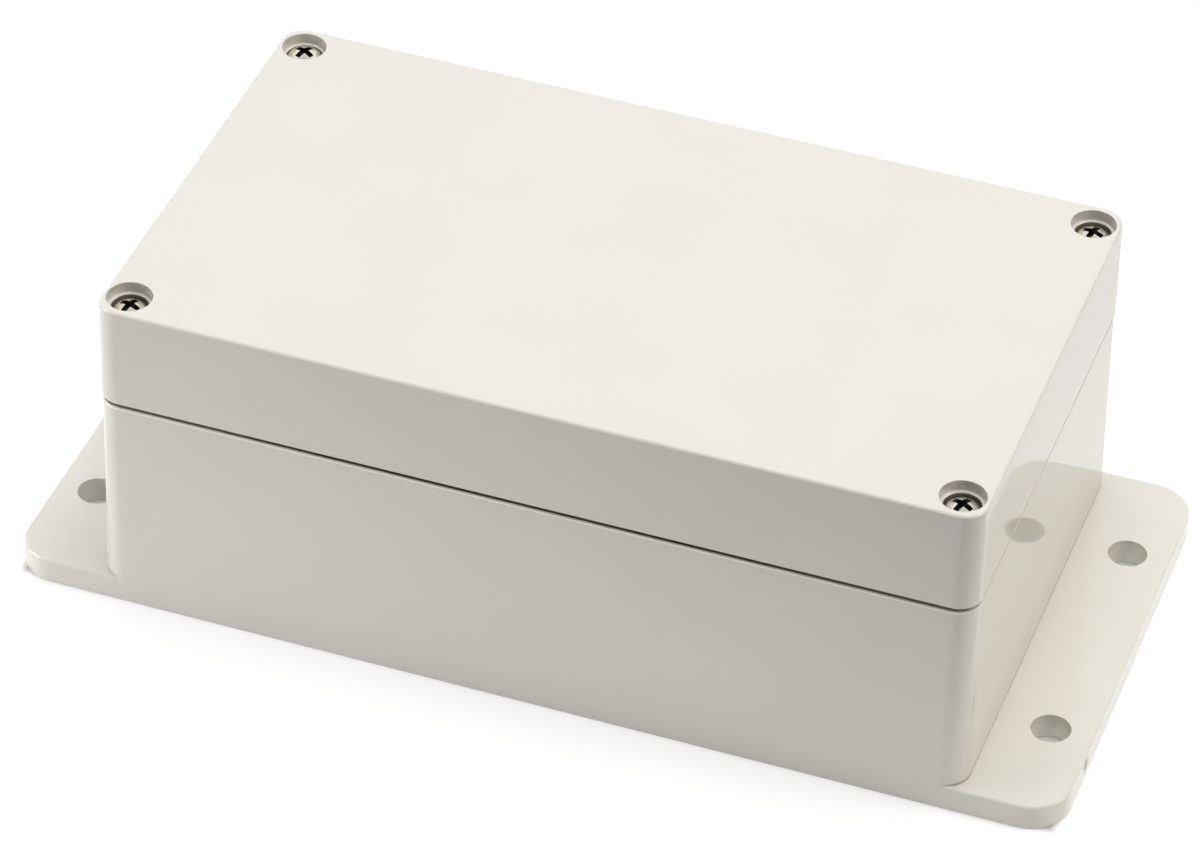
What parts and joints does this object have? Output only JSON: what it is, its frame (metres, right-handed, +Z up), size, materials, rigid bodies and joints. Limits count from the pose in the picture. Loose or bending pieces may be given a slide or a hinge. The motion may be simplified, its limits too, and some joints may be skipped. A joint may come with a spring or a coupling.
{
  "type": "waterproof junction box",
  "caption": "Flanged plastic junction box with a flat screwed lid, a sealed tongue-and-groove rim and end flanges with fixing holes.",
  "frame": {"origin": "centre of the underside's outline, on the mounting surface", "axes": "+X along the box from flange to flange, +Y from the front long wall to the back one, +Z up through the lid"},
  "size_m": [0.1932, 0.091, 0.064],
  "materials": {
    "housing_plastic": "moulded ABS, warm light grey, satin to glossy",
    "seal_rubber": "soft dark grey rubber",
    "screw_steel": "bright nickel-plated steel",
    "insert_brass": "plain turned brass"
  },
  "bodies": {
    "base": {"base": "housing_plastic", "threaded_inserts": "insert_brass"},
    "lid": {"lid": "housing_plastic", "lid_seal": "seal_rubber"},
    "screw_front_left": {"screw_front_left": "screw_steel"},
    "screw_front_right": {"screw_front_right": "screw_steel"},
    "screw_back_right": {"screw_back_right": "screw_steel"},
    "screw_back_left": {"screw_back_left": "screw_steel"}
  },
  "joints": [
    {"name": "lid_lift", "type": "slide", "parent": "base", "child": "lid", "axis": [0, 0, 1], "range_m": [0, 0.04]},
    {"name": "unscrew_front_left", "type": "slide", "parent": "lid", "child": "screw_front_left", "axis": [0, 0, 1], "range_m": [0, 0.0095]},
    {"name": "unscrew_front_right", "type": "slide", "parent": "lid", "child": "screw_front_right", "axis": [0, 0, 1], "range_m": [0, 0.0095]},
    {"name": "unscrew_back_right", "type": "slide", "parent": "lid", "child": "screw_back_right", "axis": [0, 0, 1], "range_m": [0, 0.0095]},
    {"name": "unscrew_back_left", "type": "slide", "parent": "lid", "child": "screw_back_left", "axis": [0, 0, 1], "range_m": [-0.0007, 0.0088]}
  ]
}
